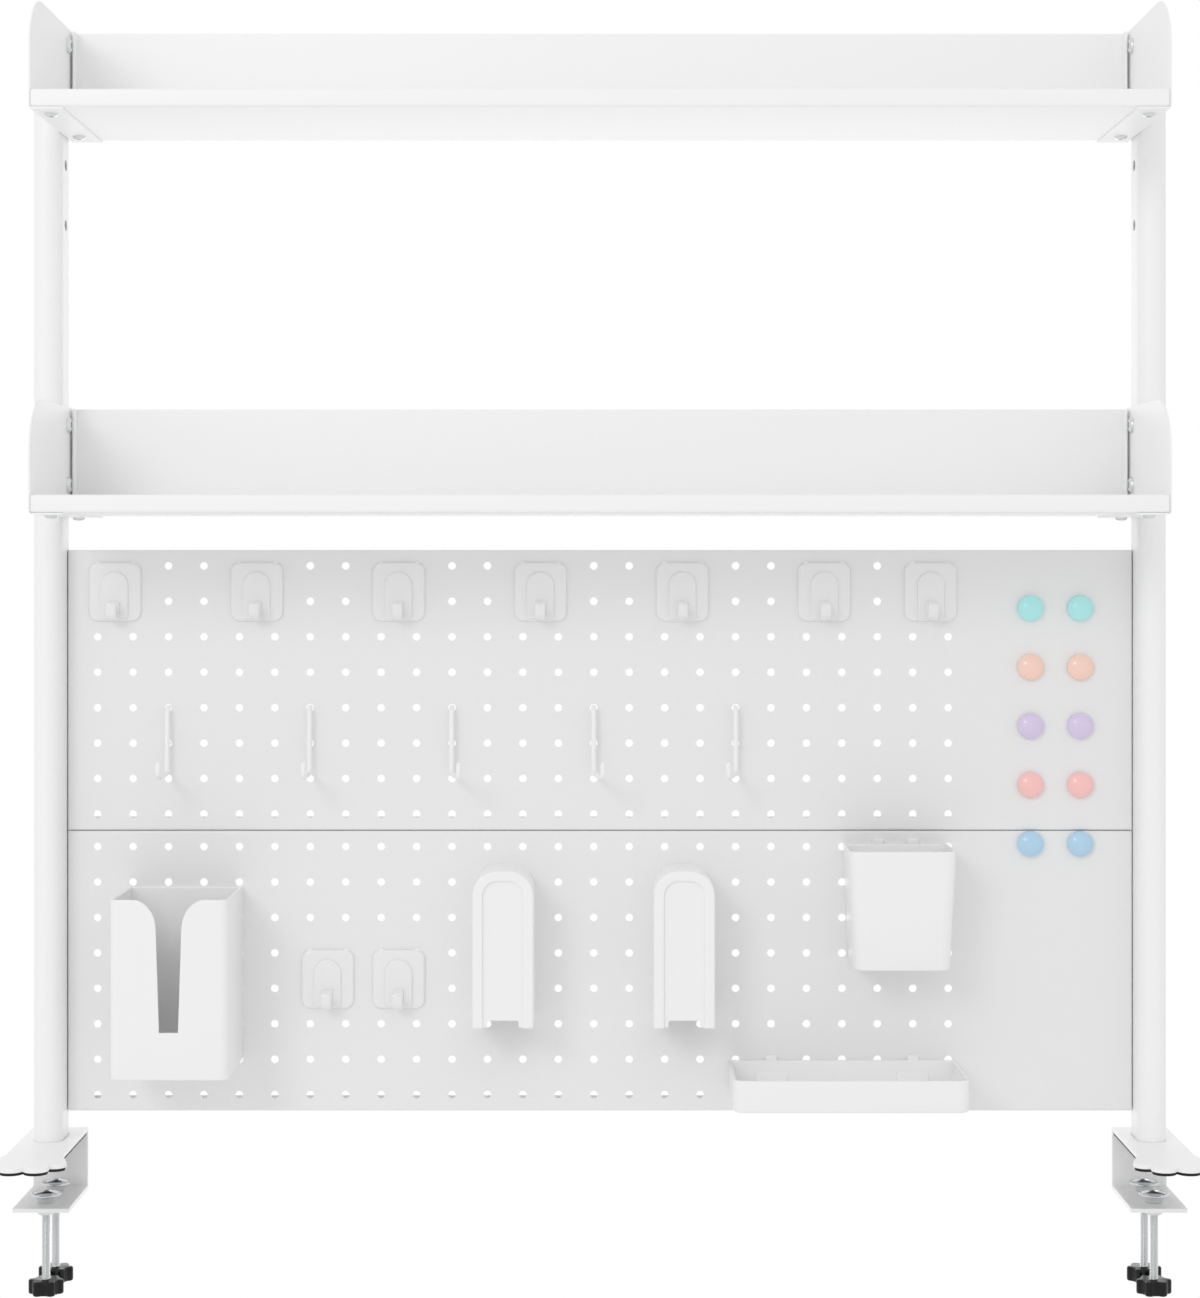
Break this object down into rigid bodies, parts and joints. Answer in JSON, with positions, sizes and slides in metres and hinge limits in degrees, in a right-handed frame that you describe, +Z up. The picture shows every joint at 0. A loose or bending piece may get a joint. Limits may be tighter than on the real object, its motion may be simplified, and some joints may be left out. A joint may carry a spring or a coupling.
{
  "type": "clamp-on desk shelf",
  "caption": "Clamp-on desk shelf: two posts with shelves and pegboards between them, desk clamps below, and hooks, holders, a tray and round magnets on the boards.",
  "frame": {"origin": "on the desk top, midway between the two clamps, at the desk's rear edge", "axes": "+X to the right seen from the front, +Y towards the back of the desk, +Z up along the posts"},
  "size_m": [0.825, 0.1653, 0.886],
  "materials": {
    "white_steel": "satin white powder coat",
    "white_plastic": "satin white ABS",
    "hook_plastic": "glossy milky white",
    "zinc_steel": "bright zinc plate",
    "pad_rubber": "matt black",
    "knob_plastic": "satin black",
    "mint_plastic": "satin",
    "peach_plastic": "satin",
    "lilac_plastic": "satin",
    "coral_plastic": "satin",
    "blue_plastic": "satin"
  },
  "bodies": {
    "frame": {"left_post": "white_steel", "left_clamp_bracket": "white_steel", "left_clamp_pad": "pad_rubber", "left_clamp_nuts": "zinc_steel", "right_post": "white_steel", "right_clamp_bracket": "white_steel", "right_clamp_pad": "pad_rubber", "right_clamp_nuts": "zinc_steel", "post_caps": "white_plastic", "lower_shelf": "white_steel", "lower_pegboard": "white_steel", "lower_left_end_panel": "white_steel", "lower_right_end_panel": "white_steel", "upper_shelf": "white_steel", "upper_pegboard": "white_steel", "upper_left_end_panel": "white_steel", "upper_right_end_panel": "white_steel", "shelf_bolts": "zinc_steel", "board_screws": "zinc_steel", "shelf_screws": "zinc_steel", "lower_plate_hooks": "hook_plastic", "upper_plate_hooks": "hook_plastic"},
    "left_rear_foot": {"left_rear_clamp_foot": "zinc_steel"},
    "left_rear_screw": {"left_rear_clamp_rod": "zinc_steel", "left_rear_clamp_knob": "knob_plastic"},
    "left_front_foot": {"left_front_clamp_foot": "zinc_steel"},
    "left_front_screw": {"left_front_clamp_rod": "zinc_steel", "left_front_clamp_knob": "knob_plastic"},
    "right_rear_foot": {"right_rear_clamp_foot": "zinc_steel"},
    "right_rear_screw": {"right_rear_clamp_rod": "zinc_steel", "right_rear_clamp_knob": "knob_plastic"},
    "right_front_foot": {"right_front_clamp_foot": "zinc_steel"},
    "right_front_screw": {"right_front_clamp_rod": "zinc_steel", "right_front_clamp_knob": "knob_plastic"},
    "wire_hook_1": {"wire_hook_1": "white_steel"},
    "wire_hook_2": {"wire_hook_2": "white_steel"},
    "wire_hook_3": {"wire_hook_3": "white_steel"},
    "wire_hook_4": {"wire_hook_4": "white_steel"},
    "wire_hook_5": {"wire_hook_5": "white_steel"},
    "tissue_box": {"tissue_box": "white_plastic"},
    "pen_cup": {"pen_cup": "white_plastic"},
    "small_tray": {"small_tray": "white_plastic"},
    "left_arch_holder": {"left_arch_holder": "white_plastic"},
    "right_arch_holder": {"right_arch_holder": "white_plastic"},
    "left_mint_magnet": {"left_mint_magnet": "mint_plastic"},
    "right_mint_magnet": {"right_mint_magnet": "mint_plastic"},
    "left_peach_magnet": {"left_peach_magnet": "peach_plastic"},
    "right_peach_magnet": {"right_peach_magnet": "peach_plastic"},
    "left_lilac_magnet": {"left_lilac_magnet": "lilac_plastic"},
    "right_lilac_magnet": {"right_lilac_magnet": "lilac_plastic"},
    "left_coral_magnet": {"left_coral_magnet": "coral_plastic"},
    "right_coral_magnet": {"right_coral_magnet": "coral_plastic"},
    "left_blue_magnet": {"left_blue_magnet": "blue_plastic"},
    "right_blue_magnet": {"right_blue_magnet": "blue_plastic"}
  },
  "joints": [
    {"name": "left_rear_lift", "type": "slide", "parent": "frame", "child": "left_rear_foot", "axis": [0, 0, 1], "range_m": [0, 0.028]},
    {"name": "left_rear_turn", "type": "hinge", "parent": "left_rear_foot", "child": "left_rear_screw", "pos_m": [-0.386, -0.017, -0.06], "axis": [0, 0, 1], "range_deg": [0, 10080]},
    {"name": "left_front_lift", "type": "slide", "parent": "frame", "child": "left_front_foot", "axis": [0, 0, 1], "range_m": [0, 0.028]},
    {"name": "left_front_turn", "type": "hinge", "parent": "left_front_foot", "child": "left_front_screw", "pos_m": [-0.386, -0.052, -0.06], "axis": [0, 0, 1], "range_deg": [0, 10080]},
    {"name": "right_rear_lift", "type": "slide", "parent": "frame", "child": "right_rear_foot", "axis": [0, 0, 1], "range_m": [0, 0.028]},
    {"name": "right_rear_turn", "type": "hinge", "parent": "right_rear_foot", "child": "right_rear_screw", "pos_m": [0.386, -0.017, -0.06], "axis": [0, 0, 1], "range_deg": [0, 10080]},
    {"name": "right_front_lift", "type": "slide", "parent": "frame", "child": "right_front_foot", "axis": [0, 0, 1], "range_m": [0, 0.028]},
    {"name": "right_front_turn", "type": "hinge", "parent": "right_front_foot", "child": "right_front_screw", "pos_m": [0.386, -0.052, -0.06], "axis": [0, 0, 1], "range_deg": [0, 10080]},
    {"name": "wire_hook_1_pull", "type": "slide", "parent": "frame", "child": "wire_hook_1", "axis": [0, -1, 0], "range_m": [0, 0.16]},
    {"name": "wire_hook_2_pull", "type": "slide", "parent": "frame", "child": "wire_hook_2", "axis": [0, -1, 0], "range_m": [0, 0.16]},
    {"name": "wire_hook_3_pull", "type": "slide", "parent": "frame", "child": "wire_hook_3", "axis": [0, -1, 0], "range_m": [0, 0.16]},
    {"name": "wire_hook_4_pull", "type": "slide", "parent": "frame", "child": "wire_hook_4", "axis": [0, -1, 0], "range_m": [0, 0.16]},
    {"name": "wire_hook_5_pull", "type": "slide", "parent": "frame", "child": "wire_hook_5", "axis": [0, -1, 0], "range_m": [0, 0.16]},
    {"name": "tissue_box_pull", "type": "slide", "parent": "frame", "child": "tissue_box", "axis": [0, -1, 0], "range_m": [0, 0.16]},
    {"name": "pen_cup_pull", "type": "slide", "parent": "frame", "child": "pen_cup", "axis": [0, -1, 0], "range_m": [0, 0.16]},
    {"name": "small_tray_pull", "type": "slide", "parent": "frame", "child": "small_tray", "axis": [0, -1, 0], "range_m": [0, 0.16]},
    {"name": "left_arch_holder_pull", "type": "slide", "parent": "frame", "child": "left_arch_holder", "axis": [0, -1, 0], "range_m": [0, 0.16]},
    {"name": "right_arch_holder_pull", "type": "slide", "parent": "frame", "child": "right_arch_holder", "axis": [0, -1, 0], "range_m": [0, 0.16]},
    {"name": "left_mint_magnet_pull", "type": "slide", "parent": "frame", "child": "left_mint_magnet", "axis": [0, -1, 0], "range_m": [0, 0.15]},
    {"name": "right_mint_magnet_pull", "type": "slide", "parent": "frame", "child": "right_mint_magnet", "axis": [0, -1, 0], "range_m": [0, 0.15]},
    {"name": "left_peach_magnet_pull", "type": "slide", "parent": "frame", "child": "left_peach_magnet", "axis": [0, -1, 0], "range_m": [0, 0.15]},
    {"name": "right_peach_magnet_pull", "type": "slide", "parent": "frame", "child": "right_peach_magnet", "axis": [0, -1, 0], "range_m": [0, 0.15]},
    {"name": "left_lilac_magnet_pull", "type": "slide", "parent": "frame", "child": "left_lilac_magnet", "axis": [0, -1, 0], "range_m": [0, 0.15]},
    {"name": "right_lilac_magnet_pull", "type": "slide", "parent": "frame", "child": "right_lilac_magnet", "axis": [0, -1, 0], "range_m": [0, 0.15]},
    {"name": "left_coral_magnet_pull", "type": "slide", "parent": "frame", "child": "left_coral_magnet", "axis": [0, -1, 0], "range_m": [0, 0.15]},
    {"name": "right_coral_magnet_pull", "type": "slide", "parent": "frame", "child": "right_coral_magnet", "axis": [0, -1, 0], "range_m": [0, 0.15]},
    {"name": "left_blue_magnet_pull", "type": "slide", "parent": "frame", "child": "left_blue_magnet", "axis": [0, -1, 0], "range_m": [0, 0.15]},
    {"name": "right_blue_magnet_pull", "type": "slide", "parent": "frame", "child": "right_blue_magnet", "axis": [0, -1, 0], "range_m": [0, 0.15]}
  ],
  "couplings": [
    {"joint": "left_rear_turn", "follows": "left_rear_lift", "rad_per_m": 6283.2},
    {"joint": "left_front_turn", "follows": "left_front_lift", "rad_per_m": 6283.2},
    {"joint": "right_rear_turn", "follows": "right_rear_lift", "rad_per_m": 6283.2},
    {"joint": "right_front_turn", "follows": "right_front_lift", "rad_per_m": 6283.2}
  ]
}
